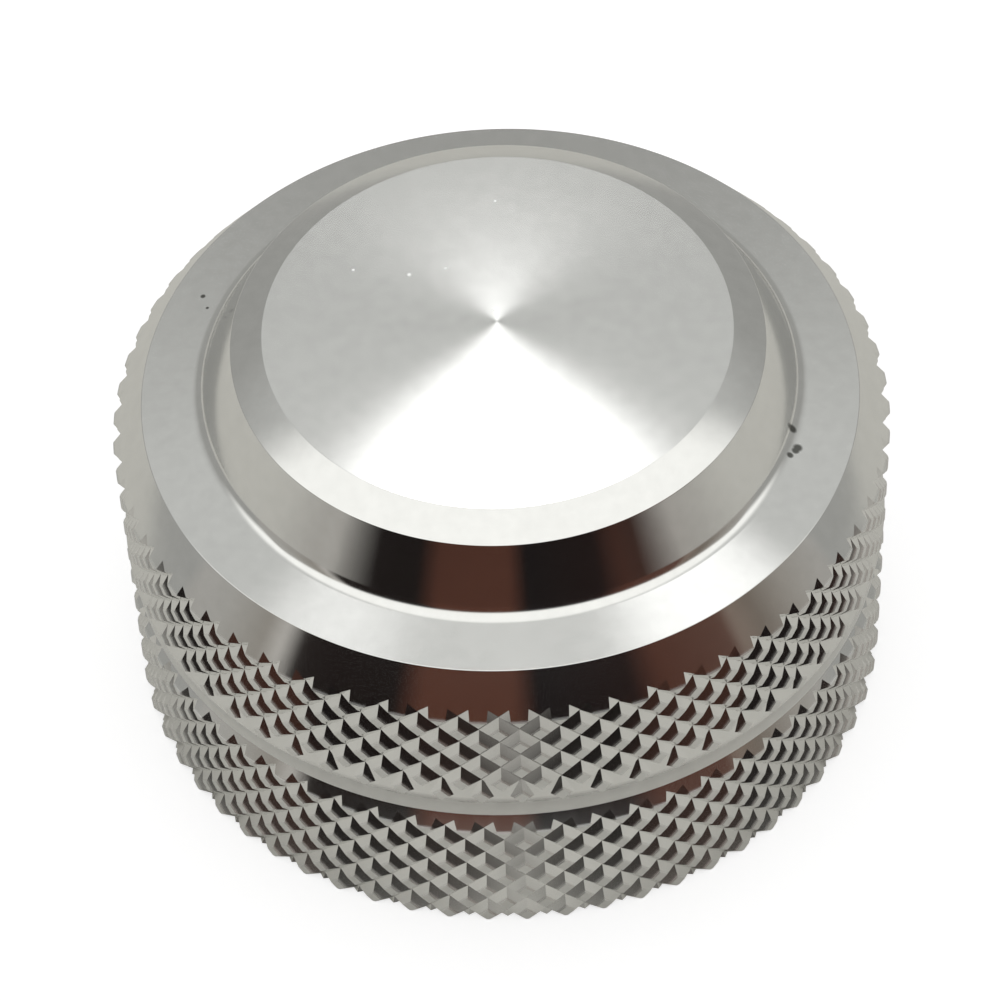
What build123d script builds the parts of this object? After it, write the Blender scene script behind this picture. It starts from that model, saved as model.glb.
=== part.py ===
"""Mechanical brake knob of a bait-casting reel: a turned, knurled screw cap with its seal and thrust discs.

Origin at the centre of the flat mouth rim that the knob stands on, +Z along its axis towards the crown.
"""

import os
from math import ceil, cos, degrees, floor, pi, radians, sin, tan

from build123d import *

# Crown of the knob, in mm. Heights count from the mouth rim.
knob_h = 11.92
dome_edge_d = 11.9
dome_edge_h = 11.71
crown_d = 13.55
crown_h = 11.3
crown_foot_d = 16.0
crown_foot_fillet = 0.25
ledge_d = 18.36
ledge_h = 9.46

# Grip: the bar it is turned from, the top of its knurl, and the plain ring and groove between two bands.
bar_d = 19.8
shoulder_h = 8.38
ring_top_h = 5.05
ring_foot_h = 4.46
groove_top_h = 4.26
groove_floor_d = 19.46
groove_lip_h = 3.79

# Rolled diamond knurl: its crowns stand as far above the bar as its crossed V-grooves sink into it.
knurl_count = 62
knurl_row = 0.515
knurl_rise = 0.1
knurl_sink = 0.1
knurl_crown = 0.44
knurl_row_h = 3.76
knurl_turn = 3.55

# Thread cut in the bore, its run-out at the blind end, and the lead-in at its mouth.
thread_d = 16.0
thread_pitch = 1.0
thread_start = 3.4
thread_end = 7.0
runout_clearance = 0.05
ceiling_h = 8.6
mouth_clearance = 0.2
mouth_lead = 0.4

# Seal that grips the reel's threaded boss, in its groove behind the mouth.
seal_section = 1.0
seal_squeeze = 0.25
seal_clearance = 0.05
seal_groove_start = 1.1
seal_groove_w = 1.3

# Thrust discs at the blind end, in a pocket that centres them on the spool shaft.
disc_d = 6.0
disc_clearance = 0.1
shim_t = 0.5
pad_t = 0.6
pad_recess = 0.15
pad_bore_d = 2.0

bar_r = bar_d / 2
crown_r = bar_r + knurl_rise
valley_r = bar_r - knurl_sink
half_step = pi / knurl_count
stock_margin = 0.5
outside_r = crown_r + stock_margin

thread_depth = 0.54127 * thread_pitch
bore_r = thread_d / 2 - thread_depth
mouth_r = thread_d / 2 + mouth_clearance
runout_r = thread_d / 2 + runout_clearance
seal_r = (thread_d + seal_section) / 2 - seal_squeeze
seal_groove_r = seal_r + seal_section / 2 + seal_clearance
pocket_r = disc_d / 2 + disc_clearance
pocket_top = ceiling_h + shim_t + pad_t + pad_recess


def polygon(*points):
    return Face(Wire.make_polygon(points, close=True))


def lattice(column, row):
    """Where two grooves cross, on a half-pitch column and a row of the knurl."""
    angle = radians(knurl_turn) - pi / 2 + column * half_step
    return Vector(valley_r * cos(angle), valley_r * sin(angle), knurl_row_h + row * knurl_row)


def diamond():
    """Flat crown and four flanks of one diamond, centred on the X axis."""
    above = Vector(valley_r, 0, knurl_row)
    beside = Vector(valley_r * cos(half_step), valley_r * sin(half_step), 0)
    corner = Vector(crown_r, knurl_crown * crown_r * tan(half_step), 0)
    slope = (beside - above).cross(corner - above)
    peak = Vector(crown_r, 0, corner.Y * slope.Y / slope.Z)

    def mirrored(point, side, up):
        return Vector(point.X, side * point.Y, up * point.Z)

    crown = polygon(corner, peak, mirrored(corner, -1, 1), mirrored(peak, 1, -1))
    flanks = [
        polygon(*(mirrored(p, side, up) for p in (corner, beside, above, peak)))
        for side in (1, -1)
        for up in (1, -1)
    ]
    return [crown] + flanks


def bar_end(row, out, end_h):
    """Fills the notches beyond the outermost row of diamonds and carries the bar on to its flat end."""
    columns = range(row % 2, 2 * knurl_count, 2)
    tips = [lattice(c, row + out) for c in columns]
    notches = [lattice(c + 1, row) for c in columns]
    rim = [Vector(p.X, p.Y, end_h) for p in tips]
    faces = [polygon(*rim)]
    for i in range(knurl_count):
        j = (i + 1) % knurl_count
        faces.append(polygon(tips[i], tips[j], notches[i]))
        faces.append(polygon(tips[i], tips[j], rim[j], rim[i]))
    return faces


def knurled_bar():
    """Bar with rows of diamonds from below the rim to the ledge, plain above them."""
    first = floor(-knurl_row_h / knurl_row)
    last = ceil((ledge_h - knurl_row_h) / knurl_row)
    pattern = diamond()
    faces = bar_end(first, -1, -knurl_row - stock_margin) + bar_end(last, 1, knob_h + stock_margin)
    for row in range(first, last + 1):
        for column in range(row % 2, 2 * knurl_count, 2):
            turn = knurl_turn - 90 + degrees(column * half_step)
            place = Pos(0, 0, knurl_row_h + row * knurl_row) * Rot(0, 0, turn)
            faces += [place * face for face in pattern]
    return Solid(Shell(faces))


def plain_ring():
    """Bar left unknurled between the two bands."""
    foot = groove_top_h
    return Pos(0, 0, (foot + ring_top_h) / 2) * Cylinder(bar_r, ring_top_h - foot)


def turned_section():
    """Half section that the lathe leaves: crown, ledge, shoulder, bevels round the ring, groove and bore."""
    shoulder_slope = (ledge_h - shoulder_h) / (crown_r - ledge_d / 2)
    outside = [
        (outside_r, 0),
        (outside_r, groove_lip_h - stock_margin),
        (groove_floor_d / 2, groove_lip_h + crown_r - groove_floor_d / 2),
        (groove_floor_d / 2, groove_top_h),
        (bar_r, ring_foot_h),
        (bar_r, ring_top_h),
        (outside_r, ring_top_h + outside_r - bar_r),
        (outside_r, shoulder_h - stock_margin * shoulder_slope),
        (ledge_d / 2, ledge_h),
        (crown_foot_d / 2, ledge_h),
        (crown_d / 2, crown_h),
        (dome_edge_d / 2, dome_edge_h),
        (0, knob_h),
    ]
    inside = [
        (0, pocket_top),
        (pocket_r, pocket_top),
        (pocket_r, ceiling_h),
        (runout_r, ceiling_h),
        (runout_r, thread_end + runout_r - bore_r),
        (bore_r, thread_end),
        (bore_r, thread_start),
        (mouth_r, thread_start - mouth_r + bore_r),
        (mouth_r, seal_groove_start + seal_groove_w),
        (seal_groove_r, seal_groove_start + seal_groove_w),
        (seal_groove_r, seal_groove_start),
        (mouth_r, seal_groove_start),
        (mouth_r, mouth_lead),
        (mouth_r + mouth_lead, 0),
    ]
    section = make_face(Polyline(*outside, *inside, close=True))
    foot = section.vertices().sort_by_distance((crown_foot_d / 2, ledge_h, 0))[0]
    return Plane.XZ * fillet(foot, crown_foot_fillet)


def knob_body():
    """Knurled bar, plain ring and all, cut to the turned section."""
    return (knurled_bar() + plain_ring()) & revolve(turned_section(), Axis.Z)


def seal_ring():
    """O-ring that keeps the knob from turning by itself."""
    return Pos(0, 0, seal_groove_start + seal_groove_w / 2) * Torus(seal_r, seal_section / 2)


def thrust_shim():
    """Spring-metal disc that lies flat on the end of the pocket."""
    return Pos(0, 0, pocket_top - shim_t / 2) * Cylinder(disc_d / 2, shim_t)


def friction_pad():
    """Plastic disc under the shim, which presses on the end of the spool shaft."""
    disc = Cylinder(disc_d / 2, pad_t) - Cylinder(pad_bore_d / 2, pad_t)
    return Pos(0, 0, pocket_top - shim_t - pad_t / 2) * disc


os.makedirs("parts", exist_ok=True)
export_step(knob_body().solid(), "parts/knob_body.step")
export_step(seal_ring(), "parts/seal_ring.step")
export_step(thrust_shim(), "parts/thrust_shim.step")
export_step(friction_pad(), "parts/friction_pad.step")
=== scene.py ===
"""Brake knob of a bait-casting reel, dressed over its CAD frame, on a plain pale floor."""

from math import cos, floor, pi, radians, sin

import bpy
from mathutils import Matrix, Vector


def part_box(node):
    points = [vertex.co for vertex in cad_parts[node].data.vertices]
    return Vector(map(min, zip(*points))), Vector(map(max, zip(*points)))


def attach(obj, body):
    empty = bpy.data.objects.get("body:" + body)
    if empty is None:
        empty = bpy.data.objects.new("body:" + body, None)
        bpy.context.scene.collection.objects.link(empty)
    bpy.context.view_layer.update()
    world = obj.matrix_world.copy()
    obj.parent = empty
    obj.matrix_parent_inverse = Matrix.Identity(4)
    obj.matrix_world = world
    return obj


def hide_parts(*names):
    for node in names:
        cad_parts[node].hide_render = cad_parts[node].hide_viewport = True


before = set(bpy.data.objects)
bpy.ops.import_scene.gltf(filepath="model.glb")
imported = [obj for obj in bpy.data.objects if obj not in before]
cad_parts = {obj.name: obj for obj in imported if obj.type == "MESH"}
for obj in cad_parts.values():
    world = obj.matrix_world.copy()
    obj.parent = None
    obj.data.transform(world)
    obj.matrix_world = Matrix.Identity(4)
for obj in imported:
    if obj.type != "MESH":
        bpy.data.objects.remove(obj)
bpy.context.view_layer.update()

# Knob body. One piece turned from drawn aluminium bar, whose grip was rolled with a diamond knurl before the
# crown, the ledge, the groove and the threaded bore were cut. The knurl's crowns and the plain ring keep the
# dull skin of the bar, and what the tool has cut is bright, with fine marks of its feed round the axis.
mm = 0.001
weld = 0.001 * mm
crease = radians(28)
knob_h = Vector(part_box("knob_body")[1]).z

# Knurl. A diamond's flat crown is a share of its width, and the grooves run out at the ring on a slope.
bar_r = 9.9 * mm
knurl_rise = 0.1 * mm
knurl_depth = 0.21 * mm
knurl_crown = 0.375
knurl_fade = 0.3
knurl_count = 62
knurl_row = 0.515 * mm
knurl_row_h = 3.76 * mm
knurl_turn = radians(3.55)
diamond_steps = 8
crown_r = bar_r + knurl_rise

# Crown, ledge and shoulder. The knurl's grooves run out on the shoulder below scallop_h, where the section
# has a point of its own, so that the plain face above it shades evenly.
dome_r = 5.95 * mm
dome_h = 11.71 * mm
wall_top_r = 6.775 * mm
wall_top_h = 11.3 * mm
foot_r = 7.64 * mm
foot_h = 9.66 * mm
foot_round = 0.45 * mm
ledge_r = 9.18 * mm
ledge_h = 9.46 * mm
scallop_h = 8.72 * mm
shoulder_h = 8.38 * mm
shoulder_slope = (ledge_h - shoulder_h) / (crown_r - ledge_r)

# Plain ring, which widens at its top to meet the knurl, and the groove under it.
ring_edge_r = 9.98 * mm
ring_edge_h = 5.12 * mm
ring_top_h = 5.05 * mm
ring_flare = 0.1 * mm
ring_foot_h = 4.46 * mm
groove_top_h = 4.2 * mm
groove_lip_h = 3.79 * mm
groove_r = 9.63 * mm

# Bore, from its closed end down to its mouth.
pocket_top = 9.85 * mm
pocket_r = 3.1 * mm
ceiling_h = 8.6 * mm
runout_r = 8.05 * mm
thread_end = 7.0 * mm
thread_start = 3.4 * mm
thread_r = 8.0 * mm
bore_r = 7.459 * mm
mouth_r = 8.2 * mm
mouth_lead = 0.4 * mm
seal_groove_high = 2.4 * mm
seal_groove_low = 1.1 * mm
seal_groove_r = 8.8 * mm

# Corner roundings, and how far the half section stands clear of the knurl.
sharp = 0.0
soft = 0.04 * mm
corner_steps = 6
clearance = 0.5 * mm
clear_r = crown_r + clearance

# Half section from the pocket's centre out to the rim and up to the crown's: radius, height, corner rounding.
section = [
    (0, pocket_top, sharp),
    (pocket_r, pocket_top, sharp),
    (pocket_r, ceiling_h, soft),
    (runout_r, ceiling_h, sharp),
    (runout_r, thread_end, sharp),
    (thread_r, thread_end, sharp),
    (thread_r, thread_start, sharp),
    (mouth_r, thread_start - mouth_r + thread_r, sharp),
    (mouth_r, seal_groove_high, soft),
    (seal_groove_r, seal_groove_high, sharp),
    (seal_groove_r, seal_groove_low, sharp),
    (mouth_r, seal_groove_low, soft),
    (mouth_r, mouth_lead, soft),
    (mouth_r + mouth_lead, 0, soft),
    (clear_r, 0, sharp),
    (clear_r, groove_lip_h - clearance, sharp),
    (groove_r, groove_lip_h + crown_r - groove_r, soft),
    (groove_r, groove_top_h, soft),
    (bar_r, ring_foot_h, soft),
    (bar_r, ring_top_h - ring_flare, sharp),
    (ring_edge_r, ring_edge_h, sharp),
    (clear_r, ring_edge_h, sharp),
    (clear_r, shoulder_h - clearance * shoulder_slope, sharp),
    (ledge_r + (ledge_h - scallop_h) / shoulder_slope, scallop_h, sharp),
    (ledge_r, ledge_h, soft),
    (foot_r, foot_h, foot_round),
    (wall_top_r, wall_top_h, soft),
    (dome_r, dome_h, soft),
    (0, knob_h - weld, sharp),
]


def put(tree, kind, inputs=None, **settings):
    """Adds a node with its settings, and links or fills its inputs by name or number."""
    new = tree.nodes.new(kind)
    for name, value in settings.items():
        setattr(new, name, value)
    for key, value in (inputs or {}).items():
        if isinstance(value, bpy.types.NodeSocket):
            tree.links.new(value, new.inputs[key])
        else:
            new.inputs[key].default_value = value
    return new


def sums(tree, operation, *values):
    """Socket of a Math node on numbers or sockets."""
    return put(tree, "ShaderNodeMath", dict(enumerate(values)), operation=operation).outputs[0]


def parts_of(tree, vector):
    """Sockets of a vector's X, Y and Z."""
    return put(tree, "ShaderNodeSeparateXYZ", {0: vector}).outputs


def vector_of(tree, **parts):
    """Socket of a vector from its X, Y and Z."""
    return put(tree, "ShaderNodeCombineXYZ", parts).outputs[0]


def ramped(tree, value, start, end, low=0.0, high=1.0, curve="LINEAR"):
    """Socket that goes from low to high while a value goes from start to end."""
    ends = {"Value": value, "From Min": start, "From Max": end, "To Min": low, "To Max": high}
    return put(tree, "ShaderNodeMapRange", ends, interpolation_type=curve).outputs[0]


def round_the_axis(tree, angle, radius, height):
    """Socket of the point at an angle, radius and height."""
    x = sums(tree, "MULTIPLY", radius, sums(tree, "COSINE", angle))
    y = sums(tree, "MULTIPLY", radius, sums(tree, "SINE", angle))
    return vector_of(tree, X=x, Y=y, Z=height)


def moved(tree, mesh, position):
    """Socket of a mesh with its points moved to a position."""
    return put(tree, "GeometryNodeSetPosition", {"Geometry": mesh, "Position": position}).outputs[0]


def welded(tree, mesh):
    """Socket of a mesh whose points are merged where they meet."""
    return put(tree, "GeometryNodeMergeByDistance", {"Geometry": mesh, "Distance": weld}).outputs[0]


def combined(tree, operation, first, second):
    """Socket of what a boolean leaves of two closed meshes."""
    solid = put(tree, "GeometryNodeMeshBoolean", {"Mesh 2": first}, operation=operation, solver="MANIFOLD")
    tree.links.new(second, solid.inputs["Mesh 2"])
    return solid.outputs["Mesh"]


def new_tree(name, **sizes):
    """A Geometry Nodes tree with a named input for each size, and the sockets of those inputs."""
    tree = bpy.data.node_groups.new(name, "GeometryNodeTree")
    tree.interface.new_socket("Geometry", in_out="OUTPUT", socket_type="NodeSocketGeometry")
    tree.interface.new_socket("Geometry", in_out="INPUT", socket_type="NodeSocketGeometry")
    for label, value in sizes.items():
        kind = "NodeSocketInt" if isinstance(value, int) else "NodeSocketFloat"
        tree.interface.new_socket(label, in_out="INPUT", socket_type=kind)
    return tree, tree.nodes.new("NodeGroupInput").outputs


def lathed(tree, half_section, segments):
    """Socket of a half section turned about the axis, as a grid of its rounded points by the segments."""
    position = tree.nodes.new("GeometryNodeInputPosition").outputs[0]
    here = parts_of(tree, position)
    outline = put(tree, "GeometryNodeMeshToCurve", {"Mesh": half_section}).outputs[0]
    rounding = put(tree, "GeometryNodeInputNamedAttribute", {"Name": "rounding"}, data_type="FLOAT")
    rounded = put(
        tree,
        "GeometryNodeFilletCurve",
        {"Curve": outline, "Count": corner_steps, "Radius": rounding.outputs[0], "Limit Radius": True},
        mode="POLY",
    ).outputs[0]
    curve = put(tree, "GeometryNodeAttributeDomainSize", {"Geometry": rounded}, component="CURVE")
    points = curve.outputs["Point Count"]
    grid = put(
        tree,
        "GeometryNodeMeshGrid",
        {"Size X": 1.0, "Size Y": 1.0, "Vertices X": sums(tree, "ADD", segments, 1), "Vertices Y": points},
    ).outputs["Mesh"]
    last = sums(tree, "SUBTRACT", points, 1)
    along = sums(tree, "ROUND", sums(tree, "MULTIPLY", sums(tree, "ADD", here["Y"], 0.5), last))
    sample = put(
        tree,
        "GeometryNodeSampleIndex",
        {"Geometry": rounded, "Value": position, "Index": along},
        data_type="FLOAT_VECTOR",
        domain="POINT",
    ).outputs[0]
    on_section = parts_of(tree, sample)
    angle = sums(tree, "MULTIPLY", here["X"], 2 * pi)
    return welded(tree, moved(tree, grid, round_the_axis(tree, angle, on_section["X"], on_section["Z"])))


def creased(tree, mesh, bend_limit):
    """Socket of a mesh shaded smooth, apart from its edges that bend more than the limit."""
    bend = tree.nodes.new("GeometryNodeInputMeshEdgeAngle").outputs["Unsigned Angle"]
    marked = put(
        tree,
        "GeometryNodeStoreNamedAttribute",
        {"Geometry": mesh, "Name": "sharp_edge", "Value": sums(tree, "GREATER_THAN", bend, bend_limit)},
        data_type="BOOLEAN",
        domain="EDGE",
    ).outputs[0]
    return put(tree, "GeometryNodeSetShadeSmooth", {"Geometry": marked}).outputs[0]


def finished(tree, mesh, material):
    """Ends a tree with a plain mesh in one material."""
    real = put(tree, "GeometryNodeRealizeInstances", {"Geometry": mesh}).outputs[0]
    dressed = put(tree, "GeometryNodeSetMaterial", {"Geometry": real, "Material": material}).outputs[0]
    put(tree, "NodeGroupOutput", {0: dressed})


def grown(name, points, tree, **sizes):
    """A new object from a tree that is given a chain of points: radius, height, corner rounding."""
    chain = bpy.data.meshes.new(name)
    chain.from_pydata([(r, 0, z) for r, z, _ in points], [(i, i + 1) for i in range(len(points) - 1)], [])
    roundings = [rounding for _, _, rounding in points]
    chain.attributes.new("rounding", "FLOAT", "POINT").data.foreach_set("value", roundings)
    obj = bpy.data.objects.new(name, chain)
    bpy.context.scene.collection.objects.link(obj)
    modifier = obj.modifiers.new("shape", "NODES")
    modifier.node_group = tree
    for item in tree.interface.items_tree:
        if item.in_out == "INPUT" and item.name in sizes:
            modifier[item.identifier] = sizes[item.name]
    seen = obj.evaluated_get(bpy.context.evaluated_depsgraph_get())
    grown_mesh = bpy.data.meshes.new_from_object(seen)
    obj.modifiers.remove(modifier)
    obj.data = grown_mesh
    bpy.data.meshes.remove(chain)
    grown_mesh.name = name
    return obj


knurl_sizes = {
    "diamonds": knurl_count,
    "first row": floor(-knurl_row_h / knurl_row) - 1,
    "last row": floor((ledge_h - knurl_row_h) / knurl_row) + 1,
    "steps": diamond_steps,
    "row": knurl_row,
    "row height": knurl_row_h,
    "turn": knurl_turn - pi / 2,
    "crown radius": crown_r,
    "depth": knurl_depth,
    "crown share": knurl_crown,
    "ring radius": ring_edge_r,
    "ring low": groove_top_h,
    "ring high": ring_edge_h,
    "fade": knurl_fade,
    "segments": diamond_steps * knurl_count,
    "crease": crease,
}
tree, size = new_tree("turned and knurled", **knurl_sizes)
here = parts_of(tree, tree.nodes.new("GeometryNodeInputPosition").outputs[0])

# One diamond with a flat crown and straight flanks, one column and one row wide to each side.
pyramid = put(
    tree,
    "GeometryNodeMeshCone",
    {"Vertices": 4, "Side Segments": size["steps"], "Radius Top": 0.0, "Radius Bottom": 1.0, "Depth": 1.0},
    fill_type="NONE",
).outputs["Mesh"]
out_from_crown = sums(tree, "ADD", sums(tree, "ABSOLUTE", here["X"]), sums(tree, "ABSOLUTE", here["Y"]))
down_flank = ramped(tree, out_from_crown, size["crown share"], 1.0)
sink = sums(tree, "MULTIPLY", down_flank, size["depth"])
flanks = vector_of(tree, X=here["X"], Y=here["Y"], Z=sums(tree, "SUBTRACT", 0, sink))
diamond = moved(tree, pyramid, flanks)

# Lattice of half-pitch columns and rows, with a diamond on every second point.
columns = sums(tree, "MULTIPLY", size["diamonds"], 2)
rows = sums(tree, "ADD", sums(tree, "SUBTRACT", size["last row"], size["first row"]), 1)
width = sums(tree, "SUBTRACT", columns, 1)
tall = sums(tree, "SUBTRACT", rows, 1)
lattice = put(
    tree,
    "GeometryNodeMeshGrid",
    {"Size X": width, "Size Y": tall, "Vertices X": columns, "Vertices Y": rows},
).outputs["Mesh"]
column = sums(tree, "ROUND", sums(tree, "MULTIPLY_ADD", width, 0.5, here["X"]))
row_above_first = sums(tree, "MULTIPLY_ADD", tall, 0.5, here["Y"])
row = sums(tree, "ROUND", sums(tree, "ADD", row_above_first, size["first row"]))
parity = sums(tree, "FLOORED_MODULO", sums(tree, "ADD", here["X"], here["Y"]), 2)
diamonds = put(
    tree,
    "GeometryNodeInstanceOnPoints",
    {
        "Points": moved(tree, lattice, vector_of(tree, X=column, Y=row)),
        "Selection": sums(tree, "LESS_THAN", parity, 0.5),
        "Instance": diamond,
    },
).outputs[0]

# The sheet of diamonds, wrapped round the axis to a sleeve.
sheet = put(tree, "GeometryNodeRealizeInstances", {"Geometry": diamonds}).outputs[0]
half_turns = sums(tree, "DIVIDE", sums(tree, "MULTIPLY", here["X"], pi), size["diamonds"])
angle = sums(tree, "ADD", half_turns, size["turn"])
radius = sums(tree, "ADD", size["crown radius"], here["Z"])
height = sums(tree, "ADD", sums(tree, "MULTIPLY", here["Y"], size["row"]), size["row height"])
sleeve = welded(tree, moved(tree, sheet, round_the_axis(tree, angle, radius, height)))

# Both open ends of the sleeve drawn to a point on the axis, far past what the lathe leaves.
point_above = 3.75 * knob_h
point_below = -0.25 * knob_h
edge_faces = tree.nodes.new("GeometryNodeInputMeshEdgeNeighbors").outputs["Face Count"]
drawn = put(
    tree,
    "GeometryNodeExtrudeMesh",
    {"Mesh": sleeve, "Selection": sums(tree, "LESS_THAN", edge_faces, 1.5), "Offset Scale": 0.0},
    mode="EDGES",
)
upper = sums(tree, "GREATER_THAN", here["Z"], ring_foot_h)
point_h = sums(tree, "MULTIPLY_ADD", upper, point_above - point_below, point_below)
pointed = put(
    tree,
    "GeometryNodeSetPosition",
    {
        "Geometry": drawn.outputs["Mesh"],
        "Selection": drawn.outputs["Top"],
        "Position": vector_of(tree, Z=point_h),
    },
).outputs[0]
bar = welded(tree, pointed)

# The plain ring that the knurling tool left out, with the cone on which the grooves run out above it.
valley_r = sums(tree, "SUBTRACT", size["crown radius"], size["depth"])
ring_h = sums(tree, "SUBTRACT", size["ring high"], size["ring low"])
cone_foot_r = sums(tree, "MULTIPLY_ADD", ring_h, size["fade"], size["ring radius"])
cone_h = sums(tree, "DIVIDE", sums(tree, "SUBTRACT", cone_foot_r, valley_r), size["fade"])
cone = put(
    tree,
    "GeometryNodeMeshCone",
    {"Vertices": size["segments"], "Radius Top": valley_r, "Radius Bottom": cone_foot_r, "Depth": cone_h},
).outputs["Mesh"]
cone_foot = vector_of(tree, Z=size["ring low"])
ring = put(tree, "GeometryNodeTransform", {"Geometry": cone, "Translation": cone_foot}).outputs[0]

# Bar and ring, cut to the turned half section.
blank = combined(tree, "UNION", bar, ring)
cut = combined(tree, "INTERSECT", blank, lathed(tree, size["Geometry"], size["segments"]))
aluminium = bpy.data.materials.new("turned aluminium")
finished(tree, creased(tree, cut, size["crease"]), aluminium)
knob = grown("turned_knob", section, tree, **knurl_sizes)
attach(knob, "root")
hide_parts("knob_body")


def mixed(tree, share, first, second):
    """Socket of a colour between two, each a socket or red, green and blue."""
    inputs = {0: share}
    for colour_input, colour in ((6, first), (7, second)):
        inputs[colour_input] = colour if isinstance(colour, bpy.types.NodeSocket) else (*colour, 1)
    return put(tree, "ShaderNodeMix", inputs, data_type="RGBA").outputs[2]


# Its finish. The crown's nearly flat top is a little rougher than the other turned faces, and counts as the
# top by how far its normal points up. The bar's skin is roughest. It starts at skin_depth under the knurl's
# crowns, and is whole from skin_full on.
tool_rough = 0.11
top_rough = 0.15
top_up = (0.992, 0.998)
skin_rough = 0.3
skin_depth = 0.06 * mm
skin_full = 0.02 * mm
grain_scale = 2500.0
darker_metal = (0.74, 0.74, 0.725)
lighter_metal = (0.84, 0.84, 0.825)
aluminium.use_nodes = True
paint = aluminium.node_tree
metal = paint.nodes["Principled BSDF"]
coordinates = paint.nodes.new("ShaderNodeTexCoord").outputs
where = parts_of(paint, coordinates["Object"])
plan = vector_of(paint, X=where["X"], Y=where["Y"])
reach = put(paint, "ShaderNodeVectorMath", {0: plan}, operation="LENGTH").outputs["Value"]
crowns = ramped(paint, reach, crown_r - skin_depth, crown_r - skin_full)
ring_half = (ring_top_h - ring_foot_h) / 2
on_ring = sums(paint, "COMPARE", where["Z"], ring_foot_h + ring_half, ring_half)
outside = sums(paint, "GREATER_THAN", reach, bar_r - skin_full)
bar_skin = sums(paint, "MAXIMUM", crowns, sums(paint, "MULTIPLY", on_ring, outside))
upright = parts_of(paint, coordinates["Normal"])["Z"]
turned_rough = ramped(paint, upright, *top_up, tool_rough, top_rough)
roughness = put(paint, "ShaderNodeMix", {0: bar_skin, 2: turned_rough, 3: skin_rough}).outputs[0]
paint.links.new(roughness, metal.inputs["Roughness"])
metal.inputs["Anisotropic"].default_value = 0.9
metal.inputs["Anisotropic Rotation"].default_value = 0.25
turning = put(paint, "ShaderNodeTangent", direction_type="RADIAL", axis="Z").outputs[0]
paint.links.new(turning, metal.inputs["Tangent"])

# Painted glints on the crown, as bright white spots that are not metal, and nicks where a tool touched the
# ledge's inner corner, painted dark as the shade in their dents: x and y in mm, and share of the radius.
glint_r = 0.06 * mm
painted_glint_colour = (0.95, 0.95, 0.93)
glint_places = [
    (-3.60, 2.11, 0.7),
    (-2.18, 1.82, 1.0),
    (-1.24, 1.97, 0.7),
    (0.09, 4.31, 0.7),
    (-0.1, 0.4, 0.6),
]
nick_r = 0.08 * mm
nick_shade_colour = (0.16, 0.16, 0.15)
nick_places = [
    (-7.62, 3.45, 0.8),
    (-7.5, 3.0, 0.5),
    (7.32, -2.12, 1.3),
    (7.42, -2.66, 1.4),
    (7.36, -2.75, 1.2),
    (7.21, -2.91, 1.0),
]
spot_blur = 0.3


def spots(places, spot_r):
    """Socket that is 1 round each place on the crown and the ledge, and 0 elsewhere."""
    total = 0.0
    for x, y, share in places:
        far = put(paint, "ShaderNodeVectorMath", {0: plan, 1: (x * mm, y * mm, 0)}, operation="DISTANCE")
        edge = share * spot_r
        near = ramped(paint, far.outputs["Value"], edge * (1 + spot_blur), edge * (1 - spot_blur))
        total = sums(paint, "MAXIMUM", total, near)
    return sums(paint, "MULTIPLY", total, sums(paint, "GREATER_THAN", where["Z"], ledge_h))


# Painted glints on the crown: bright white spots that are not metal.
painted_glints = spots(glint_places, glint_r)
shaded_nicks = spots(nick_places, nick_r)
grained = {"Vector": coordinates["Object"], "Scale": grain_scale, "Detail": 4.0}
grain = put(paint, "ShaderNodeTexNoise", grained).outputs[0]
bare = mixed(paint, grain, darker_metal, lighter_metal)
# The nicks are painted dark, as painted shade in their dents.
with_nick_shade = mixed(paint, shaded_nicks, bare, nick_shade_colour)
paint.links.new(mixed(paint, painted_glints, with_nick_shade, painted_glint_colour), metal.inputs["Base Color"])
paint.links.new(sums(paint, "SUBTRACT", 1.0, painted_glints), metal.inputs["Metallic"])

# Thread in the bore. A helical ridge of 1 mm pitch, left by the tool that cut the groove between its turns.
# It rises from the wall and sinks back into it over a quarter turn at each end.
thread_pitch = 1.0 * mm
thread_steps = 300
run_in = 0.25
ridge_half = 0.4375 * thread_pitch
crest_half = 0.125 * thread_pitch
ridge_rooting = 0.1 * mm
ridge_root_r = thread_r + ridge_rooting
ridge = [
    (ridge_root_r, -ridge_half, sharp),
    (bore_r, -crest_half, sharp),
    (bore_r, crest_half, sharp),
    (ridge_root_r, ridge_half, sharp),
    (ridge_root_r, -ridge_half, sharp),
]
thread_sizes = {
    "pitch": thread_pitch,
    "turns": (thread_end - thread_start - ridge_half) / thread_pitch,
    "start": thread_start + ridge_half,
    "wall radius": ridge_root_r,
    "steps": thread_steps,
    "crease": crease,
}
tree, size = new_tree("thread", **thread_sizes)
position = tree.nodes.new("GeometryNodeInputPosition").outputs[0]
here = parts_of(tree, position)
sides = len(ridge) - 1
stations = sums(tree, "ADD", size["steps"], 1)
strip = put(
    tree,
    "GeometryNodeMeshGrid",
    {"Size X": 1.0, "Size Y": sides, "Vertices X": stations, "Vertices Y": sides + 1},
).outputs["Mesh"]
corner_number = sums(tree, "ROUND", sums(tree, "ADD", here["Y"], sides / 2))
profile = put(
    tree,
    "GeometryNodeSampleIndex",
    {"Geometry": size["Geometry"], "Value": position, "Index": corner_number},
    data_type="FLOAT_VECTOR",
    domain="POINT",
).outputs[0]
on_profile = parts_of(tree, profile)
turn = sums(tree, "MULTIPLY", sums(tree, "ADD", here["X"], 0.5), size["turns"])
to_end = sums(tree, "MINIMUM", turn, sums(tree, "SUBTRACT", size["turns"], turn))
risen = ramped(tree, to_end, 0.0, run_in)
ridge_r = ramped(tree, risen, 0.0, 1.0, size["wall radius"], on_profile["X"])
ridge_h = sums(tree, "ADD", sums(tree, "MULTIPLY_ADD", turn, size["pitch"], size["start"]), on_profile["Z"])
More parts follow.
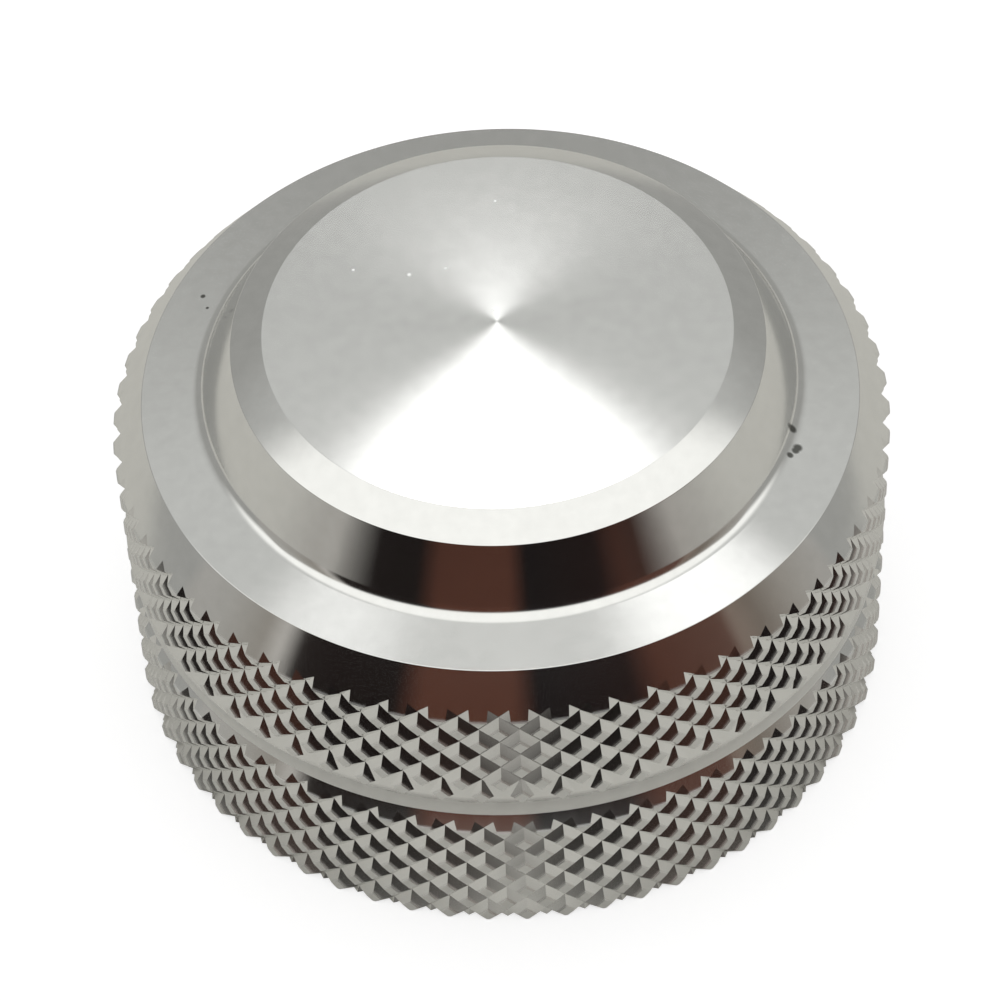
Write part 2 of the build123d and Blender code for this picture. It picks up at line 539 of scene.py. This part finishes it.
turn_angle = sums(tree, "MULTIPLY", turn, 2 * pi)
wound = welded(tree, moved(tree, strip, round_the_axis(tree, turn_angle, ridge_r, ridge_h)))
finished(tree, creased(tree, wound, size["crease"]), aluminium)
thread = grown("bore_thread", ridge, tree, **thread_sizes)
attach(thread, "root")

# Seal ring. A moulded rubber O-ring in the groove behind the mouth, which grips the reel's boss, with the
# faint lines where the halves of its mould met.
lathe_sizes = {"segments": 192, "crease": crease}


def new_lathe(material):
    """A tree that turns a chain of points about the axis, in one material."""
    tree, size = new_tree("lathe", **lathe_sizes)
    finished(tree, creased(tree, lathed(tree, size["Geometry"], size["segments"]), size["crease"]), material)
    return tree


def mottled(name, colour, rough, scale, spread, bump):
    """A material whose colour, gloss and height vary a little, at a scale in cells per metre."""
    rough_spread = 0.2
    bump_height = 0.05 * mm
    material = bpy.data.materials.new(name)
    material.use_nodes = True
    paint = material.node_tree
    skin = paint.nodes["Principled BSDF"]
    where = paint.nodes.new("ShaderNodeTexCoord").outputs["Object"]
    grain = put(paint, "ShaderNodeTexNoise", {"Vector": where, "Scale": scale, "Detail": 3.0}).outputs[0]
    darker = [channel * (1 - spread) for channel in colour]
    paint.links.new(mixed(paint, grain, darker, colour), skin.inputs["Base Color"])
    gloss = ramped(paint, grain, 0.0, 1.0, rough * (1 - rough_spread), rough * (1 + rough_spread))
    paint.links.new(gloss, skin.inputs["Roughness"])
    height = put(paint, "ShaderNodeBump", {"Height": grain, "Strength": bump, "Distance": bump_height})
    paint.links.new(height.outputs[0], skin.inputs["Normal"])
    return material


rubber = mottled("black rubber", (0.03, 0.03, 0.03), rough=0.6, scale=3000, spread=0.5, bump=0.2)
seal_low, seal_high = (Vector(corner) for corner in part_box("seal_ring"))
seal_section_r = (seal_high.z - seal_low.z) / 2
seal_mid_h = (seal_high.z + seal_low.z) / 2
seal_mid_r = seal_high.x - seal_section_r
seal_bearings = range(90, 450, 10)
mould_lines = (180, 360)
mould_mark = 0.02 * mm


def seal_point(bearing_deg):
    """A point of the ring's round section, at a bearing from its centre."""
    r = seal_mid_r + seal_section_r * cos(radians(bearing_deg))
    z = seal_mid_h + seal_section_r * sin(radians(bearing_deg))
    return (r - mould_mark if bearing_deg in mould_lines else r, z, sharp)


seal_round = [seal_point(bearing_deg) for bearing_deg in seal_bearings]
seal = grown("rubber_ring", seal_round + seal_round[:1], new_lathe(rubber), **lathe_sizes)
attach(seal, "root")
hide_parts("seal_ring")

# Thrust shim. A disc stamped from sprung brass sheet, its edge rounded on one side by the punch, which lies
# at the closed end of the bore.
punched_edge = 0.08 * mm
burred_edge = 0.02 * mm
brass = mottled("rolled brass", (0.78, 0.6, 0.27), rough=0.25, scale=5000, spread=0.15, bump=0.1)
brass.node_tree.nodes["Principled BSDF"].inputs["Metallic"].default_value = 1.0
shim_low, shim_high = (Vector(corner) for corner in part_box("thrust_shim"))
stamped = [
    (0, shim_low.z, sharp),
    (shim_high.x, shim_low.z, punched_edge),
    (shim_high.x, shim_high.z, burred_edge),
    (0, shim_high.z, sharp),
]
shim = grown("brass_shim", stamped, new_lathe(brass), **lathe_sizes)
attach(shim, "root")
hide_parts("thrust_shim")

# Friction pad. A disc cut from hard white plastic, with a small hole, under the shim. The end of the spool
# shaft presses on it.
pad_bore_r = 1.0 * mm
pad_edge = 0.06 * mm
plastic = mottled("hard plastic", (0.75, 0.73, 0.66), rough=0.45, scale=2500, spread=0.08, bump=0.15)
pad_low, pad_high = (Vector(corner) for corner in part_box("friction_pad"))
pierced = [
    (pad_bore_r, pad_high.z, sharp),
    (pad_bore_r, pad_low.z, pad_edge),
    (pad_high.x, pad_low.z, pad_edge),
    (pad_high.x, pad_high.z, pad_edge),
    (pad_bore_r, pad_high.z, sharp),
]
pad = grown("plastic_pad", pierced, new_lathe(plastic), **lathe_sizes)
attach(pad, "root")
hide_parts("friction_pad")

# Room and light. A pale sky lights everything evenly. Bright metal sees more: a dark room with brown panels
# in front, a grey wall with three lamps behind, and a white ceiling.
sky_colour = (0.9, 0.9, 0.9)
ceiling_colour = (1.15, 1.15, 1.12)
wall_foot_colour = (0.36, 0.36, 0.345)
wall_top_colour = (0.60, 0.605, 0.59)
dark_colour = (0.006, 0.004, 0.004)
side_colour = (0.40, 0.385, 0.36)

# Colour of the room in front, by bearing in degrees from the photograph's camera to its right.
room_colours = [
    (-90, (0.42, 0.41, 0.39)),
    (-78, (0.40, 0.39, 0.365)),
    (-66, (0.30, 0.28, 0.25)),
    (-61, (0.50, 0.48, 0.45)),
    (-56, (0.012, 0.008, 0.007)),
    (-30, (0.010, 0.007, 0.006)),
    (-23, (0.095, 0.037, 0.024)),
    (0, (0.095, 0.037, 0.024)),
    (6, (0.008, 0.006, 0.006)),
    (30, (0.014, 0.007, 0.006)),
    (38, (0.085, 0.034, 0.023)),
    (57, (0.11, 0.056, 0.042)),
    (60, (0.22, 0.17, 0.14)),
    (66, (0.18, 0.15, 0.125)),
    (78, (0.34, 0.32, 0.29)),
    (90, (0.42, 0.41, 0.39)),
]

# Lamps on the wall behind: bearing, height, radius of the soft edge and of the full light in degrees, power.
wall_lamps = [
    (0, 56, 6.5, 1.6, 4.0),
    (-19, 63.5, 5.5, 2.0, 0.7),
    (22, 63, 7.0, 2.5, 0.9),
]

# Where one part of the room gives way to the next, by bearing, or by how far a direction points up or back.
side_bearing = (radians(44), radians(58))
floor_end_up = (0.055, 0.12)
wall_up = (0.45, 0.76)
ceiling_up = (0.35, 0.62)
ceiling_back = (0.36, 0.12)
front_up = (0.72, 0.62)
front_back = (0.0, -0.05)
world = bpy.data.worlds.new("studio")
bpy.context.scene.world = world
world.use_nodes = True
sky = world.node_tree
sky.nodes.clear()
direction = sky.nodes.new("ShaderNodeTexCoord").outputs["Generated"]
look = parts_of(sky, direction)

# The room in front, darker near the floor except at its sides.
across = sums(sky, "ARCTAN2", look["X"], sums(sky, "SUBTRACT", 0, look["Y"]))
room = put(sky, "ShaderNodeValToRGB", {"Fac": ramped(sky, across, -pi / 2, pi / 2)})
for _ in room_colours[2:]:
    room.color_ramp.elements.new(1.0)
for stop, (bearing_deg, colour) in zip(room.color_ramp.elements, room_colours):
    stop.position = (bearing_deg + 90) / 180
    stop.color = (*colour, 1)
beside = ramped(sky, sums(sky, "ABSOLUTE", across), *side_bearing)
low_room = mixed(sky, beside, dark_colour, side_colour)
above_floor = ramped(sky, look["Z"], *floor_end_up)
front = mixed(sky, above_floor, low_room, room.outputs[0])

# The wall behind and its lamps, and the ceiling over them.
lamps = 0.0
for bearing_deg, up_deg, edge_deg, core_deg, power in wall_lamps:
    level = cos(radians(up_deg))
    towards = (sin(radians(bearing_deg)) * level, cos(radians(bearing_deg)) * level, sin(radians(up_deg)))
    near = put(sky, "ShaderNodeVectorMath", {0: direction, 1: towards}, operation="DOT_PRODUCT")
    rim = [cos(radians(deg)) for deg in (edge_deg, core_deg)]
    glow = ramped(sky, near.outputs["Value"], *rim, curve="SMOOTHSTEP")
    lamps = sums(sky, "MULTIPLY_ADD", glow, power, lamps)
wall = mixed(sky, ramped(sky, look["Z"], *wall_up), wall_foot_colour, wall_top_colour)
zenith = ramped(sky, look["Y"], *ceiling_back, curve="SMOOTHSTEP")
high = ramped(sky, look["Z"], *ceiling_up)
ceiling = mixed(sky, sums(sky, "MULTIPLY", zenith, high), wall, ceiling_colour)
behind = put(sky, "ShaderNodeVectorMath", {0: ceiling, 1: lamps}, operation="ADD").outputs[0]

# What bright metal sees, and the even sky for the rest.
below_ceiling = ramped(sky, look["Z"], *front_up)
to_front = ramped(sky, look["Y"], *front_back)
seen = mixed(sky, sums(sky, "MULTIPLY", below_ceiling, to_front), behind, front)
from_metal = sky.nodes.new("ShaderNodeLightPath").outputs["Is Glossy Ray"]
light = mixed(sky, from_metal, sky_colour, seen)
background = put(sky, "ShaderNodeBackground", {"Color": light, "Strength": 1.0})
put(sky, "ShaderNodeOutputWorld", {"Surface": background.outputs[0]})

# Floor. A plain sheet, as white to the camera as the page and grey to the rest, with the knob's soft shadow.
# Bright metal sees it turn dark in front of the knob, where a table would end.
floor_half = 0.3
floor_h = -0.01 * mm
page_colour = (0.55, 0.55, 0.55)
page_glow = 0.62
sheet_colour = (0.55, 0.54, 0.52)
table_colour = (0.62, 0.61, 0.565)
beyond_colour = (0.04, 0.035, 0.03)

# The table ends between two distances in front of the knob, and only where across is within these shares of
# that distance.
table_end = (-25 * mm, -36 * mm)
table_sides = (1.4, 0.95)
corners = [(x * floor_half, y * floor_half, floor_h) for x, y in ((-1, -1), (1, -1), (1, 1), (-1, 1))]
floor_mesh = bpy.data.meshes.new("floor")
floor_mesh.from_pydata(corners, [], [(0, 1, 2, 3)])
floor_sheet = bpy.data.objects.new("floor", floor_mesh)
bpy.context.scene.collection.objects.link(floor_sheet)
white = bpy.data.materials.new("white sheet")
floor_mesh.materials.append(white)
white.use_nodes = True
paint = white.node_tree
board = paint.nodes["Principled BSDF"]
board.inputs["Roughness"].default_value = 0.9
board.inputs["Specular IOR Level"].default_value = 0.1
board.inputs["Emission Color"].default_value = (1, 1, 1, 1)
ray = paint.nodes.new("ShaderNodeLightPath").outputs
spot = parts_of(paint, paint.nodes.new("ShaderNodeTexCoord").outputs["Object"])
past_table = ramped(paint, spot["Y"], *table_end)
sideways = sums(paint, "DIVIDE", sums(paint, "ABSOLUTE", spot["X"]), sums(paint, "SUBTRACT", 0, spot["Y"]))
ahead = ramped(paint, sideways, *table_sides)
reflected = mixed(paint, sums(paint, "MULTIPLY", past_table, ahead), table_colour, beyond_colour)
lit = mixed(paint, ray["Is Glossy Ray"], sheet_colour, reflected)
paint.links.new(mixed(paint, ray["Is Camera Ray"], lit, page_colour), board.inputs["Base Color"])
paint.links.new(sums(paint, "MULTIPLY", ray["Is Camera Ray"], page_glow), board.inputs["Emission Strength"])

# Camera, at the photograph's angle. A long lens looks down at the knob from in front, turned a little about
# its own axis as the photograph is.
view_elevation = radians(50.27)
view_distance = 116.98 * mm
view_roll = radians(-2.51)
aim = Vector((-0.11 * mm, 0, 4.87 * mm))
camera_data = bpy.data.cameras.new("camera")
camera = bpy.data.objects.new("camera", camera_data)
bpy.context.scene.collection.objects.link(camera)
bpy.context.scene.camera = camera
camera_data.sensor_width = 36
camera_data.lens = 159.54
camera_data.clip_start = 0.01
turned_down = Matrix.Rotation(pi / 2 - view_elevation, 4, "X") @ Matrix.Rotation(view_roll, 4, "Z")
back = Vector((0, -cos(view_elevation), sin(view_elevation))) * view_distance
camera.matrix_world = Matrix.Translation(aim + back) @ turned_down

bpy.context.scene.view_settings.view_transform = "Standard"
